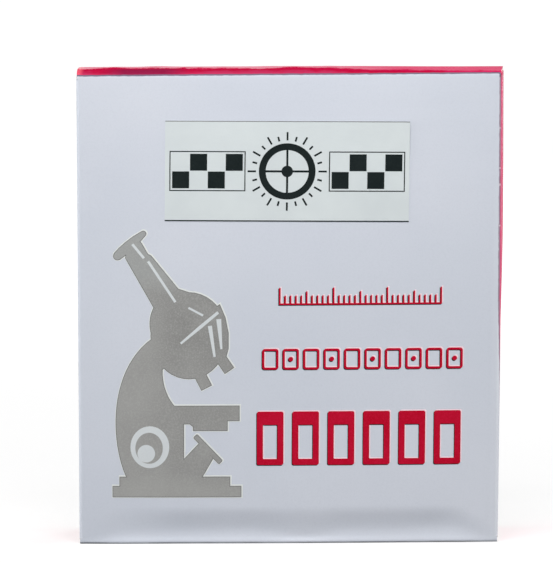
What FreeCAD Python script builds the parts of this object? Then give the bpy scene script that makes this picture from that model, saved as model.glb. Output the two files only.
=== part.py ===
import FreeCAD, Part
import os
import Sketcher

# A card box of glass microscope slides: a tray of slides closed by a lid that is nearly as deep as itself.
# Millimetres. X runs along the slides, +Y from the lid's front panel to the tray's back panel, +Z up the stack.
# The origin is the middle of the footprint, on the surface that the closed box stands on.

# Each driving dimension: its name, its size and what it measures.
DRIVING_DIMENSIONS = (
    ("slide_length", 76.2, "slide, long side"),
    ("slide_width", 25.4, "slide, short side"),
    ("slide_thickness", 1.15, "slide, glass thickness"),
    ("slide_pitch", 1.19, "from one slide of the stack to the next"),
    ("slide_bevel", 0.15, "ground edge of a slide"),
    ("slide_count", 72, "slides in the stack"),
    ("slides_per_node", 2, "slides that share one file"),
    ("slide_end_play", 1.2, "from a slide's end to the tray's side wall"),
    ("slide_top_play", 0.95, "from the top slide to the glue tabs above it"),
    ("slide_back_gap", 0.2, "from the slides to the tray's back panel"),
    ("slide_front_gap", 0.4, "from the slides to the lid's front panel"),
    ("slide_stand_out", 1.0, "how far the slides stand out of the tray"),
    ("card", 0.45, "thickness of the card"),
    ("fold_radius", 0.65, "outside radius of a fold in the card"),
    ("seam", 0.1, "how far a top or bottom wall's cut edge lies inside the side wall below it"),
    ("tab_length", 12.0, "glue tab, from the wall it folds from to its free end"),
    ("tab_taper", 2.5, "how far each side of a glue tab narrows"),
    ("tab_relief", 0.5, "from a glue tab to the fold of the panel"),
    ("lid_clearance", 0.3, "between the tray and the lid, on each side"),
    ("lid_step", 1.0, "tray wall left bare behind the closed lid"),
    ("label_width", 46.6, "front label, along X"),
    ("label_height", 19.3, "front label, along Z"),
    ("label_thickness", 0.1, "paper of the front label"),
    ("label_middle_x", -0.4, "middle of the front label, along X"),
    ("label_drop", 19.0, "from the lid's top down to the middle of the front label"),
)

# Sizes that follow from the driving dimensions, as expressions.
STACK_HEIGHT = "((Sizes.slide_count - 1) * Sizes.slide_pitch + Sizes.slide_thickness)"
TRAY_WIDTH = "(Sizes.slide_length + 2 * Sizes.slide_end_play + 2 * Sizes.card)"
TRAY_HEIGHT = f"({STACK_HEIGHT} + Sizes.slide_top_play + 4 * Sizes.card)"
TRAY_DEPTH = "(Sizes.card + Sizes.slide_back_gap + Sizes.slide_width - Sizes.slide_stand_out)"
LID_WIDTH = f"({TRAY_WIDTH} + 2 * Sizes.lid_clearance + 2 * Sizes.card)"
LID_HEIGHT = f"({TRAY_HEIGHT} + 2 * Sizes.lid_clearance + 4 * Sizes.card)"
BOX_DEPTH = "(Sizes.slide_back_gap + Sizes.slide_width + Sizes.slide_front_gap + 2 * Sizes.card)"
LID_DEPTH = f"({BOX_DEPTH} - Sizes.lid_step)"
BACK_FACE = f"(({BOX_DEPTH} + Sizes.label_thickness) / 2)"
FRONT_FACE = f"({BACK_FACE} - {BOX_DEPTH})"
LID_MIDDLE = f"({LID_HEIGHT} / 2)"
STACK_BOTTOM = f"(({LID_HEIGHT} - {TRAY_HEIGHT}) / 2 + 2 * Sizes.card)"
SLIDES_BACK = f"({BACK_FACE} - Sizes.card - Sizes.slide_back_gap)"


def make_sheet(doc):
    sheet = doc.addObject("Spreadsheet::Sheet", "Sizes")
    for row, (name, size, meaning) in enumerate(DRIVING_DIMENSIONS, start=1):
        sheet.set(f"A{row}", meaning)
        sheet.set(f"B{row}", str(size))
        sheet.setAlias(f"B{row}", name)
    doc.recompute()
    return sheet


def size_of(doc, expression):
    return float(doc.Sizes.evalExpression(expression))


def origin_feature(body, role):
    return next(feature for feature in body.Origin.OriginFeatures if feature.Role == role)


def add_sketch(body, name, plane, offset=None):
    """A sketch on one of the body's origin planes, moved along the plane's normal by the expression offset."""
    sketch = body.newObject("Sketcher::SketchObject", name)
    sketch.AttachmentSupport = [(origin_feature(body, plane), "")]
    sketch.MapMode = "FlatFace"
    if offset:
        sketch.setExpression("AttachmentOffset.Base.z", offset)
    return sketch


def constrain(sketch, kind, *where, expression=None):
    """Adds a constraint, and binds it to an expression if one is given."""
    if expression is None:
        sketch.addConstraint(Sketcher.Constraint(kind, *where))
        return
    size = size_of(sketch.Document, expression)
    number = sketch.addConstraint(Sketcher.Constraint(kind, *where, size))
    sketch.setExpression(f"Constraints[{number}]", expression)


def add_rounding(sketch, before, corner, after, radius):
    """Adds the arc that rounds a square corner. Gives its number and its ends in the outline's order."""
    into, out_of = (corner - before).normalize(), (after - corner).normalize()
    centre = corner - into * radius + out_of * radius
    middle = centre + (corner - centre).normalize() * radius
    ends = [corner - into * radius, corner + out_of * radius]
    left_turn = into.x * out_of.y - into.y * out_of.x > 0
    start, end = ends if left_turn else reversed(ends)
    return sketch.addGeometry(Part.Arc(start, middle, end)), (1, 2) if left_turn else (2, 1)


def add_outline(sketch, corners):
    """Draws and fully constrains a closed outline. Each corner is (across, up, rounding) in expressions, and
    only a square corner between an upright and a level line may have a rounding."""
    doc = sketch.Document
    points = [FreeCAD.Vector(size_of(doc, across), size_of(doc, up), 0) for across, up, _ in corners]
    radii = [size_of(doc, rounding) if rounding else 0 for _, _, rounding in corners]
    count = len(corners)
    lines = []
    for i, point in enumerate(points):
        following = points[(i + 1) % count]
        along = (following - point).normalize()
        end = following - along * radii[(i + 1) % count]
        lines.append(sketch.addGeometry(Part.LineSegment(point + along * radii[i], end)))
    tolerance = 1e-9
    upright = [abs(points[(i + 1) % count].x - points[i].x) < tolerance for i in range(count)]
    level = [abs(points[(i + 1) % count].y - points[i].y) < tolerance for i in range(count)]
    for i, (across, up, rounding) in enumerate(corners):
        line, line_before = lines[i], lines[i - 1]
        if rounding:
            arc, (first, last) = add_rounding(
                sketch, points[i - 1], points[i], points[(i + 1) % count], radii[i]
            )
            constrain(sketch, "Tangent", line_before, 2, arc, first)
            constrain(sketch, "Tangent", arc, last, line, 1)
            constrain(sketch, "Radius", arc, expression=rounding)
        else:
            constrain(sketch, "Coincident", line_before, 2, line, 1)
        if upright[i]:
            constrain(sketch, "Vertical", line)
        if level[i]:
            constrain(sketch, "Horizontal", line)
        if upright[i] or not upright[i - 1]:
            constrain(sketch, "DistanceX", -1, 1, line, 1, expression=across)
        if level[i] or not level[i - 1]:
            constrain(sketch, "DistanceY", -1, 1, line, 1, expression=up)


def add_pad(body, name, sketch, length, symmetric=False, reverse=False):
    pad = body.newObject("PartDesign::Pad", name)
    pad.Profile = sketch
    pad.SideType = "Symmetric" if symmetric else "One side"
    pad.Reversed = reverse
    pad.setExpression("Length", length)
    sketch.Visibility = False
    return pad


def negative(expression):
    return f"(-{expression})"


def swapped(corners):
    return [(up, across, rounding) for across, up, rounding in corners]


def channel(width, depth):
    """Section of a panel with a wall folded up at both its ends: the panel's outside is at up = 0."""
    outside = f"({width} / 2)"
    inside = f"({width} / 2 - Sizes.card)"
    outer_fold, inner_fold = "Sizes.fold_radius", "(Sizes.fold_radius - Sizes.card)"
    return [
        (negative(outside), depth, None),
        (negative(outside), "0", outer_fold),
        (outside, "0", outer_fold),
        (outside, depth, None),
        (inside, depth, None),
        (inside, "Sizes.card", inner_fold),
        (negative(inside), "Sizes.card", inner_fold),
        (negative(inside), depth, None),
    ]


def add_folded_box(doc, label, width, height, depth):
    """An open box folded from one card blank. The panel's outside lies in the body's XZ plane and the walls
    run along its +Y. The side walls end in tabs, which are glued inside the top and bottom walls."""
    body = doc.addObject("PartDesign::Body", label)

    side_walls = add_sketch(body, f"{label}_side_walls_section", "XY_Plane")
    add_outline(side_walls, channel(width, depth))
    flat_height = f"{height} - 2 * (Sizes.card + Sizes.fold_radius)"
    add_pad(body, f"{label}_side_walls", side_walls, flat_height, symmetric=True)

    end_walls = add_sketch(body, f"{label}_end_walls_section", "YZ_Plane")
    add_outline(end_walls, swapped(channel(height, depth)))
    add_pad(body, f"{label}_end_walls", end_walls, f"{width} - 2 * Sizes.seam", symmetric=True)

    tab_outside = f"({height} / 2 - Sizes.card)"
    tab_inside = f"({height} / 2 - 2 * Sizes.card)"
    wall_outside = f"({width} / 2)"
    fold_leg = "2 * Sizes.fold_radius"
    tab_fold = add_sketch(body, f"{label}_tab_fold_section", "XZ_Plane", "-Sizes.card")
    add_outline(tab_fold, [
        (wall_outside, f"{tab_outside} - {fold_leg}", None),
        (wall_outside, tab_outside, "Sizes.fold_radius"),
        (f"{wall_outside} - {fold_leg}", tab_outside, None),
        (f"{wall_outside} - {fold_leg}", tab_inside, None),
        (f"{wall_outside} - Sizes.card", tab_inside, "(Sizes.fold_radius - Sizes.card)"),
        (f"{wall_outside} - Sizes.card", f"{tab_outside} - {fold_leg}", None),
    ])
    tab_fold_pad = add_pad(body, f"{label}_tab_fold", tab_fold, f"{depth} - Sizes.card", reverse=True)

    tab = add_sketch(body, f"{label}_tab_outline", "XY_Plane", tab_inside)
    tab_start = "(Sizes.fold_radius + Sizes.tab_relief)"
    tab_end = f"({depth} - Sizes.tab_relief)"
    tab_root = f"({wall_outside} - Sizes.fold_radius)"
    tab_tip = f"({wall_outside} - Sizes.tab_length)"
    add_outline(tab, [
        (tab_root, tab_start, None),
        (tab_root, tab_end, None),
        (tab_tip, f"{tab_end} - Sizes.tab_taper", None),
        (tab_tip, f"{tab_start} + Sizes.tab_taper", None),
    ])
    tab_pad = add_pad(body, f"{label}_tab", tab, "Sizes.card")

    corners = body.newObject("PartDesign::MultiTransform", f"{label}_four_corners")
    corners.Originals = [tab_fold_pad, tab_pad]
    mirrors = []
    for plane in ("YZ_Plane", "XY_Plane"):
        mirror = body.newObject("PartDesign::Mirrored", f"{label}_mirror_{plane[:2]}")
        mirror.MirrorPlane = (origin_feature(body, plane), [""])
        mirrors.append(mirror)
    corners.Transformations = mirrors
    body.Tip = corners
    return body


def place(body, x="0", y="0", z="0"):
    for axis, expression in zip("xyz", (x, y, z)):
        body.setExpression(f".Placement.Base.{axis}", expression)


def make_lid(doc):
    lid = add_folded_box(doc, "lid", LID_WIDTH, LID_HEIGHT, LID_DEPTH)
    place(lid, y=FRONT_FACE, z=LID_MIDDLE)
    return lid


def make_tray(doc):
    """The tray is the same kind of box, turned round so that its panel is at the back."""
    tray = add_folded_box(doc, "tray", TRAY_WIDTH, TRAY_HEIGHT, TRAY_DEPTH)
    half_turn = 180
    tray.Placement.Rotation = FreeCAD.Rotation(FreeCAD.Vector(0, 0, 1), half_turn)
    place(tray, y=BACK_FACE, z=LID_MIDDLE)
    return tray


def rectangle(left, bottom, width, height):
    right, top = f"({left} + {width})", f"({bottom} + {height})"
    return [(left, bottom, None), (right, bottom, None), (right, top, None), (left, top, None)]


def make_front_label(doc):
    label = doc.addObject("PartDesign::Body", "front_label")
    outline = add_sketch(label, "front_label_outline", "XZ_Plane")
    left, bottom = "(-Sizes.label_width / 2)", "(-Sizes.label_height / 2)"
    add_outline(outline, rectangle(left, bottom, "Sizes.label_width", "Sizes.label_height"))
    add_pad(label, "front_label_paper", outline, "Sizes.label_thickness")
    place(label, x="Sizes.label_middle_x", y=FRONT_FACE, z=f"{LID_HEIGHT} - Sizes.label_drop")
    return label


def make_slides(doc, first, per_node):
    """A node of slides with ground edges, from slide number first up, counted from the bottom."""
    label = "slides_" + "_".join(f"{number:02d}" for number in range(first, first + per_node))
    slides = doc.addObject("PartDesign::Body", label)
    slides.AllowCompound = True
    outline = add_sketch(slides, f"{label}_outline", "XY_Plane")
    back_left = ("(-Sizes.slide_length / 2)", "(-Sizes.slide_width)")
    add_outline(outline, rectangle(*back_left, "Sizes.slide_length", "Sizes.slide_width"))
    plate = add_pad(slides, f"{label}_plate", outline, "Sizes.slide_thickness")
    doc.recompute()
    bevel = slides.newObject("PartDesign::Chamfer", f"{label}_ground_edges")
    bevel.Base = (plate, [f"Edge{i}" for i in range(1, len(plate.Shape.Edges) + 1)])
    bevel.setExpression("Size", "Sizes.slide_bevel")
    doc.recompute()
    stack = slides.newObject("PartDesign::LinearPattern", f"{label}_stack")
    stack.TransformMode = "Whole shape"
    stack.Direction = (origin_feature(slides, "Z_Axis"), [""])
    stack.setExpression("Occurrences", "Sizes.slides_per_node")
    stack.setExpression("Length", "Sizes.slide_pitch * (Sizes.slides_per_node - 1)")
    slides.Tip = stack
    place(slides, y=SLIDES_BACK, z=f"{STACK_BOTTOM} + {first - 1} * Sizes.slide_pitch")
    return slides


def check_document(doc, parts, per_node):
    for feature in doc.Objects:
        if "Invalid" in feature.State or "Error" in feature.State:
            raise RuntimeError(f"{feature.Name} didn't recompute: {feature.State}")
    for part in parts:
        solids = per_node if part.Label.startswith("slides_") else 1
        if part.Shape.isNull() or not part.Shape.isValid() or len(part.Shape.Solids) != solids:
            raise RuntimeError(f"{part.Label} has a bad shape")


def main():
    doc = FreeCAD.newDocument("microscope_slide_box")
    make_sheet(doc)
    slide_count = int(size_of(doc, "Sizes.slide_count"))
    per_node = int(size_of(doc, "Sizes.slides_per_node"))
    parts = [make_lid(doc), make_tray(doc), make_front_label(doc)]
    parts += [make_slides(doc, first, per_node) for first in range(1, slide_count + 1, per_node)]
    doc.recompute()
    check_document(doc, parts, per_node)
    os.makedirs("parts", exist_ok=True)
    for part in parts:
        part.Shape.exportStep(f"parts/{part.Label}.step")


main()
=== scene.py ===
import math
import bmesh
import bpy
import numpy as np
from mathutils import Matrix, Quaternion, Vector, geometry


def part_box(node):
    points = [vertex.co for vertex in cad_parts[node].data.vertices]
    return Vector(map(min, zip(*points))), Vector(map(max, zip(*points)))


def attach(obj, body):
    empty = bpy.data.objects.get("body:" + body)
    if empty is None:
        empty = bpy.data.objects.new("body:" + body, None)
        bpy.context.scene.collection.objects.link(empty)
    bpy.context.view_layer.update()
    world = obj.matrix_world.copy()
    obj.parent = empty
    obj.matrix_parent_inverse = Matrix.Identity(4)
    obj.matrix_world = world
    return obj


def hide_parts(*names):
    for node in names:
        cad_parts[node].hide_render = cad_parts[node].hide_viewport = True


# The looks of a card box of microscope slides. Metres, in the frame of the CAD part: X along the slides,
# the lid's printed panel towards -Y, Z up.

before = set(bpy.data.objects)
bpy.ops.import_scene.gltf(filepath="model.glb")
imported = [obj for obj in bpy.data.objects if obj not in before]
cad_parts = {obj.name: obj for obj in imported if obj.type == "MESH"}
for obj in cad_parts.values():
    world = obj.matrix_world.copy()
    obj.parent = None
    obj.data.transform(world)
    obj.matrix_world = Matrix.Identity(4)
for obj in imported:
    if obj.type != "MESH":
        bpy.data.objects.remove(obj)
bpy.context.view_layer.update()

MM = 0.001
MICRON = 0.001 * MM
QUARTER = math.pi / 2

# The card blanks, folded and glued as in the CAD part.
CARD = 0.45 * MM
FOLD_RADIUS = 0.65 * MM
SEAM = 0.1 * MM
TAB_LENGTH = 12 * MM
TAB_TAPER = 2.5 * MM
TAB_RELIEF = 0.5 * MM
GLUE_GAP = 0.02 * MM

LID_LOW, LID_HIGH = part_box("lid")
TRAY_LOW, TRAY_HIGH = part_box("tray")
LABEL_LOW, LABEL_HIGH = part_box("front_label")
LID_SIZE = LID_HIGH - LID_LOW
TRAY_SIZE = TRAY_HIGH - TRAY_LOW
HALF_WIDTH = LID_SIZE.x / 2
HALF_HEIGHT = LID_SIZE.z / 2


# ---------------------------------------- small helpers

def smooth_step(low, high, at):
    t = np.clip((at - low) / (high - low), 0, 1)
    return t * t * (3 - 2 * t)


def bump(middle, width, at):
    """A smooth hump of height 1 that is gone a width away from its middle."""
    return 1 - smooth_step(0, width, np.abs(at - middle))


def even_lines(low, high, step):
    return np.linspace(low, high, max(2, round((high - low) / step) + 1))


def srgb(red, green, blue):
    """A colour given as 0 to 255 display values, as the linear colour that shaders take."""
    shares = [channel / 255 for channel in (red, green, blue)]
    linear = [c / 12.92 if c <= 0.04045 else ((c + 0.055) / 1.055) ** 2.4 for c in shares]
    return (*linear, 1.0)


def add_object(name, data):
    added = bpy.data.objects.new(name, data)
    bpy.context.scene.collection.objects.link(added)
    return added


# ---------------------------------------- nodes

class Nodes:
    """Short calls for the nodes of a material or of the world. A source is an output or a plain value."""

    def __init__(self, tree):
        self.tree = tree

    def node(self, kind, **settings):
        node = self.tree.nodes.new(kind)
        for name, value in settings.items():
            setattr(node, name, value)
        return node

    def feed(self, source, target):
        if isinstance(source, bpy.types.NodeSocket):
            self.tree.links.new(source, target)
        else:
            target.default_value = source

    def spread(self, source, low, high, to_low=0.0, to_high=1.0):
        """Takes the range low to high of source to the range to_low to to_high, and stops at its ends."""
        spread = self.node("ShaderNodeMapRange", clamp=True)
        for socket, value in zip(("From Min", "From Max", "To Min", "To Max"), (low, high, to_low, to_high)):
            spread.inputs[socket].default_value = value
        self.feed(source, spread.inputs["Value"])
        return spread.outputs["Result"]

    def combine(self, operation, first, *others):
        """Works through the sources from the left with the operation."""
        for other in others:
            node = self.node("ShaderNodeMath", operation=operation)
            self.feed(first, node.inputs[0])
            self.feed(other, node.inputs[1])
            first = node.outputs["Value"]
        return first

    def total(self, *sources):
        return self.combine("ADD", *sources)

    def product(self, *sources):
        return self.combine("MULTIPLY", *sources)

    def largest(self, *sources):
        return self.combine("MAXIMUM", *sources)

    def magnitude(self, source):
        return self.combine("ABSOLUTE", source, 0.0)

    def distance(self, source, place):
        """How far source is from place, either way."""
        return self.magnitude(self.combine("SUBTRACT", source, place))

    def looked_at(self):
        """1 for a ray that looks at this, straight, in a reflection or through glass, and 0 for one that only
        gathers light from it."""
        path = self.node("ShaderNodeLightPath")
        rays = ("Is Camera Ray", "Is Glossy Ray", "Is Transmission Ray")
        return self.largest(*(path.outputs[ray] for ray in rays))


class Shader(Nodes):
    """A material with a Principled shader."""

    def __init__(self, name, **constants):
        self.material = bpy.data.materials.new(name)
        self.material.use_nodes = True
        super().__init__(self.material.node_tree)
        self.surface = self.tree.nodes["Principled BSDF"]
        self.coordinates = self.node("ShaderNodeTexCoord").outputs["Object"]
        for socket, value in constants.items():
            self.surface.inputs[socket.replace("_", " ")].default_value = value

    def set(self, socket, source):
        self.feed(source, self.surface.inputs[socket])

    def noise(self, size, detail=2.0, roughness=0.5, stretch=(1, 1, 1)):
        """Noise with features of about this size, drawn out along an axis by a stretch above 1."""
        mapping = self.node("ShaderNodeMapping")
        self.feed(self.coordinates, mapping.inputs["Vector"])
        mapping.inputs["Scale"].default_value = [1 / (size * share) for share in stretch]
        noise = self.node("ShaderNodeTexNoise")
        self.feed(mapping.outputs["Vector"], noise.inputs["Vector"])
        for socket, value in (("Scale", 1), ("Detail", detail), ("Roughness", roughness)):
            noise.inputs[socket].default_value = value
        return noise.outputs["Fac"]

    def mix(self, share, first, second):
        node = self.node("ShaderNodeMix", data_type="RGBA")
        self.feed(share, node.inputs["Factor"])
        colours = [socket for socket in node.inputs if socket.type == "RGBA"]
        self.feed(first, colours[0])
        self.feed(second, colours[1])
        return next(socket for socket in node.outputs if socket.type == "RGBA")

    def blend(self, source, low, high, first, second):
        """Goes from the first colour to the second as source goes from low to high."""
        return self.mix(self.spread(source, low, high), first, second)

    def bump(self, height, distance, strength):
        node = self.node("ShaderNodeBump")
        node.inputs["Strength"].default_value = strength
        node.inputs["Distance"].default_value = distance
        self.feed(height, node.inputs["Height"])
        self.set("Normal", node.outputs["Normal"])

    def part(self, vector, axis):
        split = self.node("ShaderNodeSeparateXYZ")
        self.feed(vector, split.inputs["Vector"])
        return split.outputs[axis]

    def place(self, axis):
        return self.part(self.coordinates, axis)

    def facing(self, axis):
        """How far the surface faces along an axis, from -1 to 1."""
        return self.part(self.node("ShaderNodeNewGeometry").outputs["Normal"], axis)


# ---------------------------------------- the lid's print

PRINT_OVERLAP = 2.5 * MM  # the silver runs on this far over the left and bottom folds
RIGHT_OVERLAP = 0.9 * MM  # and this far over the lower part of the right fold

# Travel is the distance over the card from the flat of the panel, less that overlap. It is an attribute of
# the mesh, in mm, and these are its values where one thing gives way to the next.
SILVER_ENDS = (0.08, 0.2)
# where the painted shade along the folds begins
FOLD_SHADE_BEGINS = (0.08, 0.14)
RED_BEGINS = (0.4, 0.48)
WEAR_BEGINS = (0.1, 0.2)
WEAR_ENDS = (0.6, 0.4)
VARNISH_BEGINS = (0.3, 0.6)
TAB_TRAVEL = 5 * MM  # the glue tabs are red all over

# How far the surface faces sideways, from 0 to 1, beside a side fold and on a side wall.
BESIDE_FOLD = (0.05, 0.25)
SIDE_WALL = (0.6, 0.9)

WORN_SPOTS = ((80.0, 0.12), (72.3, 0.16), (69.1, 0.26), (61.2, 0.18))  # heights and half sizes, in mm
DARK_STRETCH = -27.5 * MM  # its middle along the top
LEFT_END = -40.0 * MM


def worn_spots(shader, travel):
    """1 at the few heights where the fold on the right has been knocked through to the core."""
    fold = shader.product(shader.spread(travel, *WEAR_BEGINS), shader.spread(travel, *WEAR_ENDS))
    right = shader.spread(shader.place("X"), HALF_WIDTH - 2 * MM, HALF_WIDTH - 1.5 * MM)
    ragged = shader.spread(shader.noise(0.3 * MM, detail=2), 0.3, 0.7, -0.3, 0.3)
    spots = 0.0
    for height, size in WORN_SPOTS:
        away = shader.combine("DIVIDE", shader.distance(shader.place("Z"), height * MM), size * MM)
        spots = shader.largest(spots, shader.spread(shader.total(away, ragged), 1.0, 0.8))
    return shader.product(fold, shader.product(spots, right))


def foot_shade(shader):
    """Painted shade along the lowest edge, where the box stands, uneven along its length."""
    lowest = shader.spread(shader.place("Z"), 0.45 * MM, 0.15 * MM)
    uneven = shader.spread(shader.noise(12 * MM, detail=2), 0.4, 0.6, 0.3, 0.9)
    return shader.product(lowest, uneven)


def panel_silver(shader, grain, facing, beside):
    """The metallised panel, with a painted highlight on the rim beside the side folds, most of all the right
    one.
    """
    cloud = shader.noise(30 * MM, detail=3)
    silver = shader.blend(cloud, 0.3, 0.7, srgb(202, 207, 217), srgb(208, 212, 221))
    silver = shader.mix(shader.spread(grain, 0.45, 0.75, 0, 0.12), silver, srgb(170, 175, 186))
    # painted highlight beside the side folds, brighter on the right
    rim = shader.blend(facing, -0.05, 0.05, srgb(205, 210, 220), srgb(220, 224, 232))
    return shader.mix(beside, silver, rim)


def end_depth(shader, travel):
    """Travel over an end wall, with a wavering that every border across it follows, and more to the right, so
    that the painted glare comes further forward there.
    """
    swell = shader.spread(shader.noise(13 * MM, detail=1), 0.3, 0.7, 2.0, -2.5)
    fine = shader.noise(3 * MM, detail=5, roughness=0.65, stretch=(1.5, 4, 4))
    waver = shader.spread(fine, 0.25, 0.75, -4, 4)
    to_right = shader.spread(shader.place("X"), 6 * MM, 38 * MM, 0.0, 12.0)
    return shader.total(shader.total(travel, to_right), shader.total(swell, waver))


def end_red(shader, travel, depth, red):
    """The red of the top: paler and duller near its fold and pinker behind, both painted glare, and dark in
    one stretch.
    """
    # brighter, pinker red behind: painted glare
    end = shader.blend(depth, 8, 13, red, srgb(210, 15, 90))
    # paler, duller red near the fold: painted glare
    end = shader.blend(depth, 4.5, 0.5, end, srgb(190, 46, 88))
    away = shader.distance(shader.place("X"), DARK_STRETCH)
    stretch = shader.product(shader.spread(away, 9 * MM, 4 * MM, 0, 0.8), shader.spread(travel, 10, 6))
    return shader.mix(stretch, end, srgb(132, 26, 66))


def right_red(shader, travel, ripple):
    """The red of the right wall: paler and pinker than the other walls, as painted glare, most of all beside
    its fold.
    """
    glare_red = shader.blend(ripple, 0.35, 0.65, srgb(196, 20, 80), srgb(205, 30, 92))
    # pink beside the fold: painted glare
    return shader.blend(travel, 1.4, 3.6, srgb(236, 104, 146), glare_red)


def card_red(shader, travel, depth, side, ripple):
    """The red of the walls. Side is 1 on the side walls and 0 on the end walls, of which the bottom, on which
    the box stands, is coloured like the top."""
    x = shader.place("X")
    end = shader.spread(side, 1, 0)
    red = shader.blend(ripple, 0.35, 0.65, srgb(182, 9, 54), srgb(192, 14, 64))
    red = shader.mix(end, red, end_red(shader, travel, depth, red))
    # a paler pink at the end walls' far left ends
    left_tip = shader.product(shader.spread(x, LEFT_END + 0.8 * MM, LEFT_END), end)
    red = shader.mix(left_tip, red, srgb(230, 84, 108))
    right = shader.product(side, shader.spread(x, 0.0, 1 * MM))
    return shader.mix(right, red, right_red(shader, travel, ripple))


def folded_colour(shader, travel, silver, fold_shade, red):
    """Silver as far as the folds, then a dark line of painted shade along the crease, then red."""
    wavy = shader.total(travel, shader.spread(shader.noise(1.2 * MM), 0.3, 0.7, -0.04, 0.04))
    fold_shaded = shader.blend(wavy, *FOLD_SHADE_BEGINS, silver, fold_shade)
    return shader.blend(wavy, *RED_BEGINS, fold_shaded, red)


def varnish(shader, depth, side):
    """How much varnish shines: little on the side walls and at the front of the top, where it has been
    handled, and more behind that, in streaks along the box that weaken to the right."""
    streaks = shader.spread(shader.noise(1.2 * MM, detail=3, stretch=(6, 1, 1)), 0.3, 0.7, 0.36, 0.64)
    streaks = shader.product(streaks, shader.spread(shader.place("X"), 2 * MM, 20 * MM, 1.0, 0.35))
    on_end = shader.product(shader.spread(depth, 9.5, 12, 0.01, 1.0), streaks, shader.spread(side, 1, 0))
    return shader.largest(on_end, shader.spread(side, 0, 1, 0, 0.17))


def printed_card():
    """The lid's outside: a metallised silver panel that turns red across its folds, with the white core of
    the card worn bare in places."""
    shader = Shader("printed_card", Specular_IOR_Level=0.0, Coat_Roughness=0.15)
    travel = shader.node("ShaderNodeAttribute", attribute_name="travel").outputs["Fac"]
    grain = shader.noise(0.35 * MM, detail=3, roughness=0.7)
    ripple = shader.noise(9 * MM, detail=3, stretch=(3, 0.5, 0.5))
    facing = shader.facing("X")
    turned = shader.magnitude(facing)
    beside = shader.spread(turned, *BESIDE_FOLD)
    side = shader.spread(turned, *SIDE_WALL)
    depth = end_depth(shader, travel)

    silver = panel_silver(shader, grain, facing, beside)
    # painted shade along the folds, lighter on the side folds
    fold_shade = shader.mix(beside, srgb(118, 106, 124), srgb(158, 140, 156))
    red = card_red(shader, travel, depth, side, ripple)
    printed = folded_colour(shader, travel, silver, fold_shade, red)
    # the lowest edge darkened by painted shade
    foot_shaded = shader.mix(foot_shade(shader), printed, srgb(84, 86, 94))
    worn = worn_spots(shader, travel)
    shader.set("Base Color", shader.mix(worn, foot_shaded, srgb(206, 192, 200)))

    not_silver = shader.largest(worn, beside, shader.spread(travel, *SILVER_ENDS))
    shader.set("Metallic", shader.spread(not_silver, 0, 1, 0.22, 0.0))
    shader.set("Roughness", shader.spread(grain, 0.3, 0.7, 0.34, 0.44))
    varnished = shader.spread(travel, *VARNISH_BEGINS)
    shader.set("Coat Weight", shader.product(varnished, varnish(shader, depth, side)))
    shader.bump(shader.total(ripple, shader.product(grain, 0.02)), 0.15 * MM, 0.35)
    return shader.material


# ---------------------------------------- the other materials

def mottled(shader, cloud_size, first, second):
    """Sets a colour that drifts from the first to the second over clouds of this size."""
    cloud = shader.noise(cloud_size, detail=3)
    shader.set("Base Color", shader.blend(cloud, 0.3, 0.7, first, second))


def card_core():
    """Bare board: the inside and the cut edges of the lid and the tray."""
    shader = Shader("card_core", Roughness=0.85)
    fibres = shader.noise(0.5 * MM, detail=4, roughness=0.7, stretch=(3, 1, 1))
    specks = shader.spread(shader.noise(0.25 * MM, detail=1), 0.68, 0.75, 0, 0.4)
    board = shader.blend(fibres, 0.3, 0.7, srgb(214, 209, 200), srgb(232, 229, 222))
    shader.set("Base Color", shader.mix(specks, board, srgb(150, 140, 128)))
    shader.bump(fibres, 0.05 * MM, 0.5)
    return shader.material


def coated_card():
    """The tray's outside: white coated board."""
    shader = Shader("coated_card", Specular_IOR_Level=0.4)
    mottled(shader, 18 * MM, srgb(224, 224, 220), srgb(234, 233, 229))
    fibres = shader.noise(0.6 * MM, detail=4, roughness=0.65)
    shader.set("Roughness", shader.spread(fibres, 0.3, 0.7, 0.45, 0.6))
    shader.bump(fibres, 0.03 * MM, 0.4)
    return shader.material


def sticker_paper():
    shader = Shader("sticker_paper", Specular_IOR_Level=0.4)
    mottled(shader, 9 * MM, srgb(205, 212, 214), srgb(212, 219, 220))
    fibres = shader.noise(0.4 * MM, detail=3, roughness=0.7)
    shader.set("Roughness", shader.spread(fibres, 0.3, 0.7, 0.4, 0.55))
    shader.bump(fibres, 0.02 * MM, 0.3)
    return shader.material


def slide_glass():
    """Clear faces and ground edges, told apart by which way a face points."""
    shader = Shader("slide_glass", IOR=1.52)
    clear = shader.spread(shader.magnitude(shader.facing("Z")), 0.8, 0.95)
    grinding = shader.noise(0.12 * MM, detail=3, roughness=0.7)
    ground = shader.blend(grinding, 0.35, 0.65, srgb(150, 182, 170), srgb(206, 224, 216))
    shader.set("Base Color", shader.mix(clear, ground, srgb(226, 240, 234)))
    shader.set("Transmission Weight", shader.spread(clear, 0, 1, 0.35, 1.0))
    shader.set("Roughness", shader.spread(clear, 0, 1, 0.45, 0.02))
    return shader.material


def microscope_grey_and_sheen(shader):
    """The grey of the microscope with a painted sheen: darkest on its head, paler at its left, on its tube
    and along its foot.
    """
    x, z = shader.place("X"), shader.place("Z")
    head = shader.blend(z, 28 * MM, 40 * MM, srgb(148, 148, 146), srgb(138, 138, 136))
    grey = shader.blend(x, -29.5 * MM, -20.5 * MM, srgb(156, 156, 154), head)
    grey = shader.blend(z, 48 * MM, 52 * MM, grey, srgb(158, 160, 159))
    return shader.mix(shader.spread(z, 14 * MM, 11 * MM, 0, 0.5), grey, srgb(170, 170, 167))


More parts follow.
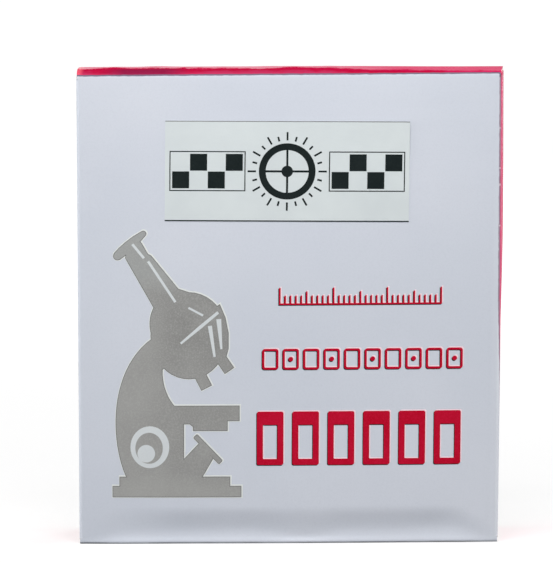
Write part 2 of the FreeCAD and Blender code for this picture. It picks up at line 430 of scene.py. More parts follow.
def ink(name, colour, speck, speck_share=0.25):
    """Printing ink, with the fine mottle of a print on metallised card. The colour is a value, or a function
    that makes it for the shader."""
    shader = Shader(name, Specular_IOR_Level=0.08)
    plain = colour(shader) if callable(colour) else colour
    mottle = shader.noise(0.3 * MM, detail=3, roughness=0.75)
    cloud = shader.noise(6 * MM, detail=2)
    inked = shader.mix(shader.spread(mottle, 0.45, 0.7, 0, speck_share), plain, speck)
    shader.set("Base Color", shader.mix(shader.spread(cloud, 0.35, 0.65, 0, 0.18), inked, speck))
    shader.set("Roughness", shader.spread(mottle, 0.3, 0.7, 0.45, 0.58))
    return shader.material


# ---------------------------------------- the shape of the handled lid

PANEL_BOW = 1.1 * MM  # how far the panel's middle stands forward
BELLY_HEIGHT = 30 * MM  # up to here the bow stays full
BEND_DEPTH = 4 * MM  # how far behind the panel its bends die out
STRIP_HEIGHT = 2.7 * MM  # of the strip along its foot, on the whole
KICK_OUT = 0.6 * MM  # how far the strip's foot sticks out from it
STEP_IN = 0.65 * MM  # how far the strip lies back
STEP_OUT = 0.35 * MM  # how far the card above it stands forward
STEP_TOP = 7 * MM  # where that is at its fullest
SETTLED = 34 * MM  # where it has died out
LEFT_REACH = 24 * MM  # over these distances from the corners the bends grow to their full size
RIGHT_REACH = 14 * MM
CORNER_REACH = 9 * MM  # and over this one the strip to its full height
RIGHT_BOW = 0.14 * MM  # how far its right edge bulges out
RIGHT_SPLAY = 1.25 * MM  # how far the right wall leans out at its back
SWELLING = 1.0 * MM  # scale of the walls' swelling
# How far handling has pulled each corner of the panel from square, right and up, in mm.
CORNER_PULLS = {(-1, -1): (-0.05, 0.0), (1, -1): (-0.45, 0.1), (-1, 1): (-0.06, 0.0), (1, 1): (0.7, 0.2)}


def lower_bend(x, foot):
    """How far the panel's lowest stretch is pushed out, by height above the panel's foot. The foot sticks
    out, the card just above it faces up, and the card above that faces down. It all fades at the corners."""
    from_left, from_right = x + HALF_WIDTH, HALF_WIDTH - x
    reach = smooth_step(0, LEFT_REACH, from_left) * smooth_step(0, RIGHT_REACH, from_right)
    narrowed = 0.3 + 0.7 * smooth_step(0, CORNER_REACH, np.minimum(from_left, from_right))
    strip = STRIP_HEIGHT - 0.9 * MM * bump(3 * MM, 9 * MM, x) + 0.5 * MM * bump(33 * MM, 15 * MM, x)
    height = foot / narrowed
    turned_up = KICK_OUT * (1 - np.clip(height / strip, 0, 1)) ** 2
    risen = smooth_step(strip - 0.3 * MM, STEP_TOP + 0.2 * MM, height)
    settled = 1 - smooth_step(STEP_TOP, SETTLED, foot)
    return turned_up * narrowed + reach * (STEP_OUT * risen * settled - STEP_IN * (1 - risen))


def panel_push(x, foot):
    """How far the panel stands forward of flat."""
    across = x / HALF_WIDTH
    above_belly = np.maximum(0, (foot - BELLY_HEIGHT) / (2 * HALF_HEIGHT - BELLY_HEIGHT))
    bow = PANEL_BOW * (1 - across ** 2) * (1 - above_belly ** 2)
    return bow + lower_bend(x, foot)


def on_wall(outward):
    """1 on the wall at this end of the range -1 to 1, and 0 away from it."""
    return smooth_step(0.93, 1.0, outward)


def swelling(back):
    return SWELLING * np.sin(np.pi * np.clip(back, 0, 1))


def wall_lean(across, up, back):
    """How far the side walls lie to the right of square: the right one splays, the left one swells."""
    splay = RIGHT_SPLAY * back * (1 + 0.22 * up) * smooth_step(-0.85, 0.4, up)
    swell = swelling(back) * (0.05 + 0.15 * smooth_step(0.6, 1.0, up))
    return on_wall(across) * splay - on_wall(-across) * swell


def top_rise(across, up, back):
    """How far the top wall lies above square: it swells unevenly and sags behind."""
    wave = 0.06 * np.sin(9 * across + 1) + 0.05 * np.sin(23 * across + 4 * back) + 0.03 * np.sin(37 * across)
    swell = swelling(back) * (0.4 - 0.18 * across - 0.12 * across ** 2 + wave)
    sag = (0.15 + 0.2 * smooth_step(0.1, 0.9, across)) * MM * smooth_step(0.3, 1, back)
    return on_wall(up) * (swell - sag)


def handled(points):
    """Bends the points of an ideal lid as handling has bent the real one. A point is (across, depth from the
    panel, up), from the panel's middle."""
    x, depth, z = points.T
    across, back, up = x / HALF_WIDTH, depth / LID_SIZE.y, z / HALF_HEIGHT
    near_front = 1 - smooth_step(0, BEND_DEPTH, depth)
    new_y = depth - near_front * panel_push(x, z + HALF_HEIGHT)
    new_x = x + wall_lean(across, up, back)
    new_z = z + top_rise(across, up, back)
    to_front = 1 - back
    for (side, level), (right, raised) in CORNER_PULLS.items():
        share = (1 + side * across) / 2 * (1 + level * up) / 2 * to_front
        new_x = new_x + share * right * MM
        new_z = new_z + share * raised * MM
    new_x = new_x + RIGHT_BOW * (1 + across) / 2 * (1 - up ** 2) * to_front
    return np.stack([new_x, new_y, new_z], axis=1)


def lid_place(points):
    """Ideal lid coordinates to the frame, bent on the way."""
    middle = (LID_LOW + LID_HIGH) / 2
    return handled(points) + np.array([middle.x, LID_LOW.y, middle.z])


def tray_place(points):
    """The tray is turned half round: its panel is at the back."""
    middle = (TRAY_LOW + TRAY_HIGH) / 2
    return points * np.array([-1, -1, 1]) + np.array([middle.x, TRAY_HIGH.y, middle.z])


# ---------------------------------------- folded boxes

FOLD_TURNS = np.radians(np.arange(0, 91, 15))
SHARP_TURN = math.radians(35)


def panel_lines(half_height, reach, step, fine_below):
    """Grid heights over the panel out to reach, closer together on its lowest stretch."""
    fine_top = max(fine_below - half_height, -reach)
    fine = even_lines(-reach, fine_top, step / 4)[:-1] if fine_below else []
    return np.concatenate([fine, even_lines(fine_top, reach, step)])


def fold_stations(half, depth, wall_step):
    """From the end of the flat panel across a fold and along a wall: (outward, back, angle turned)."""
    arc = [
        (half - FOLD_RADIUS * (1 - math.sin(turn)), FOLD_RADIUS * (1 - math.cos(turn)), turn)
        for turn in FOLD_TURNS[:-1]
    ]
    wall = [(half, back, QUARTER) for back in even_lines(FOLD_RADIUS, depth, wall_step)]
    return arc + wall


def travelled(back, turn):
    """How far over the card a station is from the flat of the panel."""
    return FOLD_RADIUS * turn + max(0.0, back - FOLD_RADIUS)


def side_overlap(hand, up):
    """How far the silver runs on over a side fold, at a height from -1 to 1."""
    if hand < 0:
        return PRINT_OVERLAP
    return RIGHT_OVERLAP * (1 - smooth_step(-0.6, 0.1, up))


class BoxSkin:
    """The outside of an open box folded from one blank, with glue tabs folded off the side walls, as a sheet
    of vertices, each with its outward normal and its travel. A point is (across, depth from the panel, up),
    from the panel's middle."""

    def __init__(self, size, step, wall_step, fine_below=0.0):
        self.points, self.normals, self.travels, self.faces, self.numbers = [], [], [], [], {}
        self.half_width, self.depth, self.half_height = size.x / 2, size.y, size.z / 2
        self.wall_step = wall_step
        self.tab_fold = self.half_height - CARD - FOLD_RADIUS
        flat_end = self.half_width - FOLD_RADIUS
        self.across_lines = even_lines(-flat_end, flat_end, step)
        self.up_lines = panel_lines(self.half_height, self.tab_fold, step, fine_below)
        self.add_panel()
        for sign in (-1, 1):
            self.add_end_wall(sign)
        for hand in (-1, 1):
            self.add_side_wall(hand)
            for sign in (-1, 1):
                self.add_tab(hand, sign)

    def vertex(self, point, normal, travel):
        key = tuple(round(value / MICRON) for value in point)
        if key not in self.numbers:
            self.numbers[key] = len(self.points)
            self.points.append(point)
            self.normals.append(normal)
            self.travels.append(travel)
        return self.numbers[key]

    def patch(self, rows):
        """Faces between rows of (point, normal, travel)."""
        numbers = [[self.vertex(*entry) for entry in row] for row in rows]
        for row, next_row in zip(numbers, numbers[1:]):
            for i in range(len(row) - 1):
                self.faces.append((row[i], row[i + 1], next_row[i + 1], next_row[i]))

    def add_panel(self):
        self.patch([[((x, 0.0, z), (0, -1, 0), 0.0) for z in self.up_lines] for x in self.across_lines])

    def add_end_wall(self, sign):
        """The top or bottom wall, as wide as the box but for the seams. Beside the side folds its travel is
        at least theirs, so that the colours meet at the corners."""
        ear = self.half_width - SEAM
        ear_travel = FOLD_RADIUS - SEAM
        ends = [(-ear, ear_travel - side_overlap(-1, sign))] + [(x, -MM) for x in self.across_lines]
        ends.append((ear, ear_travel - side_overlap(1, sign)))
        rows = [[((x, 0.0, sign * self.tab_fold), (0, -1, 0), max(0.0, beyond)) for x, beyond in ends]]
        for out, back, turn in fold_stations(self.half_height, self.depth, self.wall_step):
            normal = (0, -math.cos(turn), sign * math.sin(turn))
            travel = travelled(back, turn) - (PRINT_OVERLAP if sign < 0 else 0)
            rows.append([((x, back, sign * out), normal, max(travel, beyond)) for x, beyond in ends])
        self.patch(rows)

    def add_side_wall(self, hand):
        overlaps = [side_overlap(hand, z / self.half_height) for z in self.up_lines]
        rows = []
        for out, back, turn in fold_stations(self.half_width, self.depth, self.wall_step):
            normal = (hand * math.sin(turn), -math.cos(turn), 0)
            travel = travelled(back, turn)
            rows.append([
                ((hand * out, back, z), normal, travel - overlap)
                for z, overlap in zip(self.up_lines, overlaps)
            ])
        self.patch(rows)

    def add_tab(self, hand, sign):
        """A glue tab, from the end of its side wall round the fold and along the inside of an end wall."""
        backs = even_lines(FOLD_RADIUS, self.depth, self.wall_step)
        radius = FOLD_RADIUS - GLUE_GAP
        rows = []
        for turn in FOLD_TURNS:
            x = self.half_width - FOLD_RADIUS * (1 - math.cos(turn))
            z = self.tab_fold + radius * math.sin(turn)
            normal = (hand * math.cos(turn), 0, sign * math.sin(turn))
            rows.append([((hand * x, back, sign * z), normal, TAB_TRAVEL) for back in backs])
        for share in even_lines(0, 1, 0.1)[1:]:
            x = self.half_width - FOLD_RADIUS - (TAB_LENGTH - FOLD_RADIUS) * share
            z = self.tab_fold + radius
            trim = TAB_RELIEF + TAB_TAPER * share
            trimmed = np.linspace(FOLD_RADIUS + trim, self.depth - trim, len(backs))
            rows.append([((hand * x, back, sign * z), (0, 0, sign), TAB_TRAVEL) for back in trimmed])
        self.patch(rows)


def thick_mesh(name, outside, inside, faces, place, travels=None):
    """A closed solid between an outer and an inner sheet with the same faces, whose points place puts in the
    frame. The inside and the cut edges get the second material."""
    count = len(outside)
    built = bmesh.new()
    travel_layer = built.verts.layers.float.new("travel")
    for point in place(np.concatenate([outside, inside])):
        built.verts.new(point)
    built.verts.ensure_lookup_table()
    built.verts.index_update()
    for number, vertex in enumerate(built.verts):
        vertex[travel_layer] = travels[number % count] / MM if travels else 0.0
    for corners in faces:
        built.faces.new([built.verts[n] for n in corners])
    for edge in [edge for edge in built.edges if edge.is_boundary]:
        a, b = edge.verts
        built.faces.new([a, b, built.verts[b.index + count], built.verts[a.index + count]]).material_index = 1
    for corners in faces:
        built.faces.new([built.verts[n + count] for n in reversed(corners)]).material_index = 1
    bmesh.ops.recalc_face_normals(built, faces=built.faces)
    mesh = bpy.data.meshes.new(name)
    built.to_mesh(mesh)
    built.free()
    mesh.shade_smooth()
    mesh.set_sharp_from_angle(angle=SHARP_TURN)
    return mesh


def add_box(name, skin, place, outside_material):
    """Gives the skin the thickness of the card and places it."""
    outside = np.array(skin.points)
    inside = outside - np.array(skin.normals) * CARD
    box = add_object(name, thick_mesh(name, outside, inside, skin.faces, place, skin.travels))
    box.data.materials.append(outside_material)
    box.data.materials.append(card_core())
    return box


def make_lid():
    skin = BoxSkin(LID_SIZE, step=1.4 * MM, wall_step=1.3 * MM, fine_below=14 * MM)
    lid = add_box("lid_card", skin, lid_place, printed_card())
    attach(lid, "lid")
    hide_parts("lid")


def make_tray():
    skin = BoxSkin(TRAY_SIZE, step=3 * MM, wall_step=2.5 * MM)
    tray = add_box("tray_card", skin, tray_place, coated_card())
    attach(tray, "tray")
    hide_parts("tray")


# ---------------------------------------- flat shapes, as loops of points in mm

PRINT_CELL = 1.4 * MM
SAME_PLACE = 1e-7  # nearer points are one, in metres


def plate(middle, size, angle=0.0, radius=0.0):
    """A rectangle, turned by angle in degrees, with corners rounded to radius."""
    half_x, half_z = size[0] / 2, size[1] / 2
    turn = math.radians(angle)
    steps = 5 if radius else 1
    loop = []
    for corner, (sx, sz) in enumerate(((1, 1), (-1, 1), (-1, -1), (1, -1))):
        for step in range(steps):
            around = QUARTER * (corner + step / 4)
            x = sx * (half_x - radius) + radius * math.cos(around)
            z = sz * (half_z - radius) + radius * math.sin(around)
            loop.append((
                middle[0] + x * math.cos(turn) - z * math.sin(turn),
                middle[1] + x * math.sin(turn) + z * math.cos(turn),
            ))
    return loop


def disc(middle, radius, radius_up=None, count=40):
    """A disc, or an ellipse if its radius upwards is given too."""
    turns = [2 * math.pi * i / count for i in range(count)]
    up = radius_up or radius
    return [(middle[0] + radius * math.cos(t), middle[1] + up * math.sin(t)) for t in turns]


def curve(points, count=24):
    """A Bezier line over the points."""
    at = np.linspace(0, 1, count)
    degree = len(points) - 1
    line = sum(
        (math.comb(degree, i) * at ** i * (1 - at) ** (degree - i))[:, None] * np.array(point, dtype=float)
        for i, point in enumerate(points)
    )
    return [tuple(place) for place in line]


def stroke(points, widths, count=24):
    """A Bezier line over the points, whose width goes through the widths."""
    middle = np.array(curve(points, count))
    along = np.gradient(middle, axis=0)
    along /= np.linalg.norm(along, axis=1)[:, None]
    half = np.interp(np.linspace(0, 1, count), np.linspace(0, 1, len(widths)), widths) / 2
    side = np.stack([-along[:, 1], along[:, 0]], axis=1) * half[:, None]
    return [tuple(p) for p in middle + side] + [tuple(p) for p in (middle - side)[::-1]]


def grown(loop, margin):
    """The loop with its outline moved out by margin, or in if margin is below 0."""
    points = np.array(loop, dtype=float)
    following = np.roll(points, -1, axis=0)
    if np.sum(points[:, 0] * following[:, 1] - points[:, 1] * following[:, 0]) < 0:
        points = points[::-1]
        following = np.roll(points, -1, axis=0)
    edges = following - points
    edges /= np.linalg.norm(edges, axis=1)[:, None]
    out_after = np.stack([edges[:, 1], -edges[:, 0]], axis=1)
    out_before = np.roll(out_after, 1, axis=0)
    spread = np.maximum(1 + np.sum(out_after * out_before, axis=1), 0.4)
    return [tuple(p) for p in points + (out_after + out_before) * (margin / spread)[:, None]]


def loops_of(shape):
    """A shape is a loop, or a list of an outer loop and the holes in it."""
    return shape if isinstance(shape[0], list) else [shape]


def moved(shapes, right, up):
    return [[[(x + right, z + up) for x, z in loop] for loop in loops_of(shape)] for shape in shapes]


def filled(shapes):
    """The union of the shapes as a flat bmesh, in metres."""
    points, rings, holes = [], [], {}
    for shape in shapes:
        outer = len(rings)
        for loop in loops_of(shape):
            rings.append(list(range(len(points), len(points) + len(loop))))
            points += [Vector((x * MM, z * MM)) for x, z in loop]
        holes[outer] = set(range(outer + 1, len(rings)))
    verts, _, faces, _, _, origins = geometry.delaunay_2d_cdt(points, [], rings, 1, SAME_PLACE)
    flat = bmesh.new()
    corners = [flat.verts.new((v.x, 0, v.y)) for v in verts]
    for face, inside in zip(faces, origins):
        if any(outer in inside and not inner & set(inside) for outer, inner in holes.items()):
            flat.faces.new([corners[n] for n in face])
    bmesh.ops.delete(flat, geom=[v for v in flat.verts if not v.link_faces], context="VERTS")
    return flat


def cut_to_cells(flat):
    """Cuts a flat bmesh along a grid, so that it can follow a bent face."""
    for axis in (0, 2):
        places = [vertex.co[axis] for vertex in flat.verts]
        first, last = math.ceil(min(places) / PRINT_CELL), math.ceil(max(places) / PRINT_CELL)
        for cut in np.arange(first, last) * PRINT_CELL:
            point, normal = Vector(), Vector()
            point[axis], normal[axis] = cut, 1.0
            everything = flat.verts[:] + flat.edges[:] + flat.faces[:]
            bmesh.ops.bisect_plane(flat, geom=everything, dist=SAME_PLACE, plane_co=point, plane_no=normal)
    flat.verts.index_update()


# ---------------------------------------- how print and label lie on the lid

LAYER = 0.012 * MM  # thickness of a layer of print, which also sinks this far into what it lies on

# From the panel's lower left corner.
LABEL_START = LABEL_LOW - LID_LOW
LABEL_END = LABEL_HIGH - LID_LOW
LABEL_MIDDLE = (LABEL_START + LABEL_END) / 2
LABEL_THICKNESS = LABEL_HIGH.y - LABEL_LOW.y
LABEL_CELL = 1.2 * MM
LABEL_TURN = math.radians(-0.6)  # it is stuck on a little askew
LABEL_LIFT = 0.25 * MM  # how far its upper right corner has come up
LIFT_REACH = 14 * MM  # and how far before the corner it starts to


def face_place(points):
    """From distances right of and above the panel's lower left corner, to the frame."""
    return lid_place(points - np.array([HALF_WIDTH, 0, HALF_HEIGHT]))


def label_place(points):
    """As face_place, for the label and what is on it."""
    right, up = points[:, 0] - LABEL_MIDDLE.x, points[:, 2] - LABEL_MIDDLE.z
    askew = points.copy()
    askew[:, 0] = LABEL_MIDDLE.x + right * math.cos(LABEL_TURN) - up * math.sin(LABEL_TURN)
    askew[:, 2] = LABEL_MIDDLE.z + right * math.sin(LABEL_TURN) + up * math.cos(LABEL_TURN)
    return face_place(askew)


def label_back(points):
    """How far the label's back is off the panel."""
    past_corner = (points[:, 0] - LABEL_END.x) + (points[:, 2] - LABEL_END.z)
    return LABEL_LIFT * smooth_step(-LIFT_REACH, 0, past_corner) ** 1.5


def label_face(points):
    return label_back(points) + LABEL_THICKNESS


def add_layer(name, points, faces, top, bottom, material, place):
    """A thin solid on the panel, whose top and bottom are so far off it."""
    outside, inside = points.copy(), points.copy()
    outside[:, 1] = -top
    inside[:, 1] = -bottom
    layer = add_object(name, thick_mesh(name, outside, inside, faces, place))
    layer.data.materials.append(material)
    layer.data.materials.append(material)
    return layer


def add_print(name, shapes, level, material, slot="lid_card"):
    """One piece of print, on the panel or on the label, whose top lies level layers above that."""
    flat = filled(shapes)
    cut_to_cells(flat)
    points = np.array([(v.co.x, 0.0, v.co.z) for v in flat.verts])
    faces = [tuple(v.index for v in face.verts) for face in flat.faces]
    flat.free()
    ground, place = (label_face(points), label_place) if slot == "label_paper" else (0.0, face_place)
    piece = add_layer(name, points, faces, ground + level * LAYER, ground - LAYER, material, place)
    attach(piece, "lid")


def make_label():
    xs = even_lines(LABEL_START.x, LABEL_END.x, LABEL_CELL)
    zs = even_lines(LABEL_START.z, LABEL_END.z, LABEL_CELL)
    points = np.array([(x, 0.0, z) for x in xs for z in zs])
    rows = np.arange(len(points)).reshape(len(xs), len(zs))
    faces = [
        (row[j], next_row[j], next_row[j + 1], row[j + 1])
        for row, next_row in zip(rows, rows[1:]) for j in range(len(zs) - 1)
    ]
    top, bottom = label_face(points), label_back(points)
    label = add_layer("label_paper", points, faces, top, bottom, sticker_paper(), label_place)
    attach(label, "lid")
    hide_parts("front_label")


# ---------------------------------------- the microscope, in mm

MICROSCOPE_RISE = 0.35  # above where its shapes are drawn


def stand_shapes():
    """The foot, the arm, the stage and the mirror."""
    arm_back = curve([(9.2, 12.4), (6.2, 18.6), (5.3, 33.1), (14.3, 39.5)])
    arm_front = curve([(16.2, 33.3), (16.1, 30.6), (17.0, 28.0), (18.6, 26.2)], count=10)
    arm = [*arm_back, (20.0, 38.0), *arm_front, (20.3, 25.0), (20.3, 12.4)]
    stage = [
        (15.0, 22.8), (15.0, 26.4), (31.0, 26.4), (31.0, 23.4), (28.7, 23.4), (28.7, 21.5),
        (22.0, 21.5), (22.0, 22.3), (21.4, 22.8),
    ]
    foot = [plate((18.9, 9.8), (24.9, 2.2)), plate((18.5, 11.2), (21.4, 3.0))]
    pillar = plate((18.2, 17.0), (4.2, 12.0))
    mirror_holder = [(19.0, 12.0), (23.5, 12.0), (26.0, 16.3), (23.4, 19.4), (19.0, 14.8)]
    mirror = plate((24.9, 18.0), (7.2, 1.1), angle=-46, radius=0.3)
    return [*foot, arm, stage, pillar, mirror_holder, mirror]


def tube_shapes():
    """The tube and its eyepiece."""
    tube = [
        (9.1, 54.9), (9.3, 56.2), (11.6, 58.6), (12.3, 57.8), (13.5, 55.7), (14.1, 55.4),
        (19.5, 48.7), (18.0, 44.0), (14.5, 45.3),
    ]
    eyepiece = stroke([(7.5, 55.2), (9.7, 57.2), (12.6, 59.6)], [1.7, 2.0, 2.0, 1.8, 1.2])
    eyepiece_ends = [disc((7.6, 55.3), 0.8, count=16), disc((12.6, 59.6), 0.6, count=16)]
    return [tube, eyepiece, *eyepiece_ends]


def head_shapes():
    """The head and two objectives."""
    bulge_back = curve([(14.5, 45.4), (13.5, 43.4), (13.5, 41.4), (14.3, 39.3)], count=12)
    bulge = [*bulge_back, (18.0, 38.0), (18.0, 45.0)]
    collar = [(18.9, 49.1), (22.3, 48.0), (26.1, 45.4), (22.0, 41.0), (18.0, 43.0)]
    shade = [(27.2, 46.0), (28.3, 43.4), (28.9, 40.4), (28.9, 37.4), (28.2, 34.8), (24.0, 33.6), (21.0, 41.5)]
    head = disc((21.3, 39.9), 7.4, 8.4)
    objectives = [plate((28.1, 34.5), (2.2, 3.4), angle=34), plate((23.7, 31.7), (2.3, 4.3), angle=27)]
    return [head, bulge, collar, shade, *objectives]


def microscope_shapes(margin=0.0):
    """A plain pictogram of a microscope, with its outline moved out by margin."""
    return [grown(loop, margin) for loop in stand_shapes() + tube_shapes() + head_shapes()]


def microscope_marks():
    """The ring of the knob, then the gleams on the tube and on the head."""
    return [
        disc((13.7, 18.4), 3.75, 4.05),
        stroke([(10.5, 57.6), (12.7, 54.9)], [0.5, 0.5], count=3),
        stroke([(13.5, 54.3), (18.7, 46.4)], [0.5, 0.5], count=3),
        stroke([(21.2, 45.3), (24.0, 43.8)], [0.4, 0.4], count=3),
        stroke([(19.7, 38.4), (23.5, 41.6), (26.9, 44.4)], [0.4, 0.65, 0.55]),
        stroke([(25.3, 41.8), (26.2, 35.8)], [0.8, 0.45], count=3),
        stroke([(27.0, 43.1), (27.5, 37.3)], [0.95, 0.4], count=3),
    ]


def print_microscope(inks):
    """From the bottom up. The body is a little smaller than the edge, and the edge than the fringe."""
    layers = {
        "fringe": (moved(microscope_shapes(0.2), 0.08, 0.08), "pale_fringe"),
        "edge": (microscope_shapes(), "dark_grey_ink"),
        "body": (microscope_shapes(-0.12), "grey_ink"),
        "marks": (microscope_marks(), "gleam_ink"),
        "knob": ([disc((13.55, 18.2), 2.65, 3.0)], "grey_ink"),
        "glint": ([disc((13.0, 17.15), 1.7)], "gleam_ink"),
    }
    for level, (name, (shapes, ink_name)) in enumerate(layers.items(), 1):
        add_print("microscope_" + name, moved(shapes, 0, MICROSCOPE_RISE), level, inks[ink_name])


# ---------------------------------------- the rows on the panel, in mm

FRINGE_SHIFT = 0.23
SHADOW_SHIFT = -0.16


def ruler_shapes():
    """A graduation like the one on a stage scale."""
    left, foot = 38.7, 46.1
    pitch, ticks, line = 1.03, 31, 0.3
    heights = {0: 3.3, 5: 2.6}  # of every tenth tick and those half way
    long = pitch * (ticks - 1)
    shapes = [plate((left + long / 2, foot + line / 2), (long + line, line))]
    for tick in range(ticks):
        high = heights.get(tick % 10, 1.8)
        shapes.append(plate((left + pitch * tick, foot + high / 2), (line, high)))
    return shapes


def cover_glass_shapes():
    """A row of cover glasses, drawn as outlines, every other one with a dot for the specimen."""
    first, pitch = (36.9, 35.65), 3.93
    wide, high, line = 3.1, 4.0, 0.4
    shapes = []
    for number in range(10):
        middle = (first[0] + pitch * number, first[1])
        shapes.append([
            plate(middle, (wide, high), radius=0.5),
            plate(middle, (wide - 2 * line, high - 2 * line), radius=0.2),
        ])
        if number % 2:
            shapes.append(disc(middle, 0.45, count=16))
    return shapes


def upright_slide_shapes():
    """A row of bold upright slides, each with its marking end filled."""
    first, pitch = (36.9, 20.4), 6.82
    wide, high, line = 5.1, 10.3, 1.15
    window = (wide - 2 * line, high * 0.64)
    shapes = []
    for number in range(6):
        x = first[0] + pitch * number
        window_middle = (x, first[1] - high / 2 + line + window[1] / 2)
        shapes.append([
            plate((x, first[1]), (wide, high), radius=0.35),
            plate(window_middle, window, radius=0.15),
        ])
    return shapes


def print_rows(inks):
    """Each row in red, with a dark shadow under it and a pale fringe under that."""
    rows = {
        "ruler": ruler_shapes(),
        "cover_glasses": cover_glass_shapes(),
        "slides_row": upright_slide_shapes(),
    }
    for name, shapes in rows.items():
        add_print(name + "_fringe", moved(shapes, FRINGE_SHIFT, FRINGE_SHIFT), 1, inks["pink_fringe"])
        add_print(name + "_shadow", moved(shapes, SHADOW_SHIFT, SHADOW_SHIFT), 2, inks["black_ink"])
        add_print(name + "_red", shapes, 3, inks["red_ink"])


# ---------------------------------------- the print on the label, in mm

def reticle_shapes(middle):
    """A ring with cross hairs, and graduations round it."""
    ring, rim, hair = 5.4, 1.3, 0.4
    gap, short, long, tick_width = 0.55, 0.9, 1.6, 0.35
    ticks = 24
    hair_length = 2 * (ring - rim) + 0.2
    shapes = [
        [disc(middle, ring, count=64), disc(middle, ring - rim, count=64)],
        plate(middle, (hair_length, hair)),
        plate(middle, (hair, hair_length)),
        disc(middle, 1.1),
    ]
    for tick in range(ticks):
        degrees = 360 * tick / ticks
        length = short if tick % 2 else long
        out = ring + gap + length / 2
        right, up = out * math.cos(math.radians(degrees)), out * math.sin(math.radians(degrees))
        shapes.append(plate((middle[0] + right, middle[1] + up), (length, tick_width), angle=degrees))
    return shapes


def scale_bar_shapes(middle):
    """A framed bar of four by two cells, filled like a chequer."""
    cell, gap, frame_inside, frame_outside = 3.4, 0.15, 0.5, 0.9
    columns = 4
    shapes = [[
        plate(middle, (columns * cell + frame_outside, 2 * cell + frame_outside)),
        plate(middle, (columns * cell + frame_inside, 2 * cell + frame_inside)),
    ]]
    for column in range(columns):
        right = cell * (column - (columns - 1) / 2)
        up = cell * (0.5 if column % 2 else -0.5)
        shapes.append(plate((middle[0] + right, middle[1] + up), (cell - gap, cell - gap)))
    return shapes


def print_label(inks):
    """A reticle between two scale bars, and a thin line along the label's foot and head."""
    low, high = LABEL_START / MM, LABEL_END / MM
    middle_x, middle_z = (low.x + high.x) / 2, (low.z + high.z) / 2
    wide = high.x - low.x
    bar_out = 15.2
    scale = reticle_shapes((middle_x, middle_z))
    for hand in (-1, 1):
        scale += scale_bar_shapes((middle_x + hand * bar_out, middle_z))
    foot_line = [plate((middle_x, low.z + 0.12), (wide, 0.22))]
    head_line = [plate((middle_x, high.z - 0.08), (wide, 0.14))]
    add_print("label_scale", scale, 1, inks["black_ink"], "label_paper")
    add_print("label_foot_line", foot_line, 1, inks["black_ink"], "label_paper")
    add_print("label_head_line", head_line, 1, inks["dark_grey_ink"], "label_paper")


def make_inks():
    paints = {
        "red_ink": (srgb(184, 0, 36), srgb(216, 30, 72), 0.45),
        "black_ink": (srgb(14, 23, 24), srgb(44, 52, 52)),
        "pink_fringe": (srgb(250, 226, 234), srgb(236, 204, 216)),
        "grey_ink": (microscope_grey_and_sheen, srgb(182, 182, 180), 0.45),
        "dark_grey_ink": (srgb(112, 113, 112), srgb(140, 141, 139)),
        "pale_fringe": (srgb(229, 232, 230), srgb(210, 214, 216)),
        "gleam_ink": (srgb(215, 220, 222), srgb(200, 205, 212)),
    }
    return {name: ink(name, *paint) for name, paint in paints.items()}


def make_print():
    inks = make_inks()
    print_microscope(inks)
    print_rows(inks)
    print_label(inks)


# ---------------------------------------- the slides

def make_slides():
    """The slides are the CAD solids, in glass."""
    glass = slide_glass()
    for name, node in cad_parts.items():
        if name.startswith("slides_"):
            for slot in node.material_slots:
                slot.material = glass


# ---------------------------------------- camera, light and floor

AIM = Vector((-2.42, 0, 49.5)) * MM  # the point that the camera looks at
DISTANCE = 1.502
AZIMUTH = math.radians(0.42)
ELEVATION = math.radians(4.8)
ROLL = math.radians(-0.29)
SENSOR = 36.0
REACH_PER_SENSOR = 13.75  # focal length over the sensor's long side
LAMP_AIM = Vector((0, 0, 0.045))
WHITE = (1, 1, 1, 1)
WORLD_LIGHT = 0.205
FLOOR_REACH = 6.0


def look(target, direction):
    """Turns a camera or a lamp to face along a direction."""
    target.rotation_mode = "QUATERNION"
    target.rotation_quaternion = direction.to_track_quat("-Z", "Y")


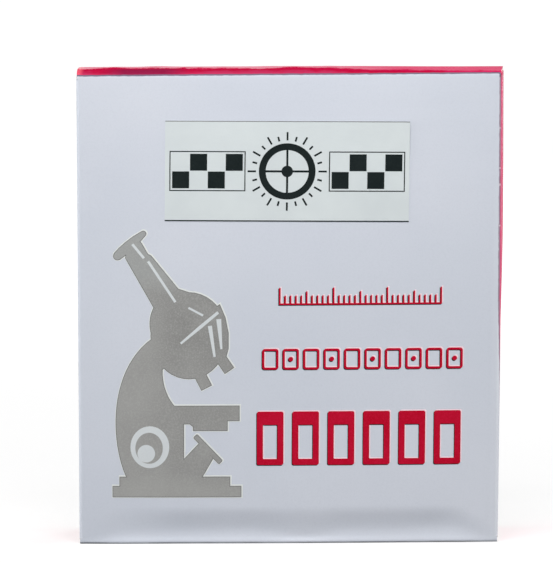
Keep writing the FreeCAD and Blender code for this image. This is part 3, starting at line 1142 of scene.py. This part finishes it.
def make_camera():
    data = bpy.data.cameras.new("camera")
    data.sensor_width = SENSOR
    data.lens = SENSOR * REACH_PER_SENSOR
    data.clip_start = 0.05
    data.clip_end = 20
    camera = add_object("camera", data)
    level = math.cos(ELEVATION)
    back = Vector((math.sin(AZIMUTH) * level, -math.cos(AZIMUTH) * level, math.sin(ELEVATION)))
    camera.location = AIM + back * DISTANCE
    look(camera, -back)
    camera.rotation_quaternion = camera.rotation_quaternion @ Quaternion((0, 0, 1), ROLL)
    bpy.context.scene.camera = camera


def make_lamp(name, place, size, power):
    data = bpy.data.lights.new(name, "AREA")
    data.shape = "SQUARE"
    data.size = size
    data.energy = power
    lamp = add_object(name, data)
    lamp.location = place
    look(lamp, LAMP_AIM - Vector(place))


def floor_white():
    """Dim where it is lit, so that it keeps the box's shadow, and glowing where it is looked at, more so far
    out, where it runs into the white surround."""
    shader = Shader("floor_white", Roughness=0.9, Specular_IOR_Level=0.0)
    shader.set("Base Color", srgb(160, 160, 160))
    shader.set("Emission Color", WHITE)
    length = shader.node("ShaderNodeVectorMath", operation="LENGTH")
    shader.feed(shader.coordinates, length.inputs[0])
    glow = shader.spread(length.outputs["Value"], 0.15, 1.2, 0.68, 0.95)
    shader.set("Emission Strength", shader.product(shader.looked_at(), glow))
    return shader.material


def make_floor():
    corners = [(FLOOR_REACH * x, FLOOR_REACH * y, 0) for x, y in ((-1, -1), (1, -1), (1, 1), (-1, 1))]
    mesh = bpy.data.meshes.new("floor")
    mesh.from_pydata(corners, [], [(0, 1, 2, 3)])
    floor = add_object("floor", mesh)
    floor.data.materials.append(floor_white())


def make_world():
    """A white surround that gives less light than it shows."""
    world = bpy.data.worlds.new("studio")
    world.use_nodes = True
    bpy.context.scene.world = world
    nodes = Nodes(world.node_tree)
    background = world.node_tree.nodes["Background"]
    background.inputs["Color"].default_value = WHITE
    nodes.feed(nodes.spread(nodes.looked_at(), 0, 1, WORLD_LIGHT, 1.0), background.inputs["Strength"])


make_lid()
make_tray()
make_label()
make_print()
make_slides()

make_camera()
make_lamp("key", (-0.01, -0.23, 0.3), 0.18, 0.96)
make_lamp("left", (-0.85, -0.08, 0.2), 0.5, 5.3)
make_lamp("right", (0.85, -0.02, 0.2), 0.5, 3.7)
make_lamp("rear", (0.45, 0.85, 0.25), 0.5, 6.5)
make_floor()
make_world()
bpy.context.scene.view_settings.view_transform = "Standard"
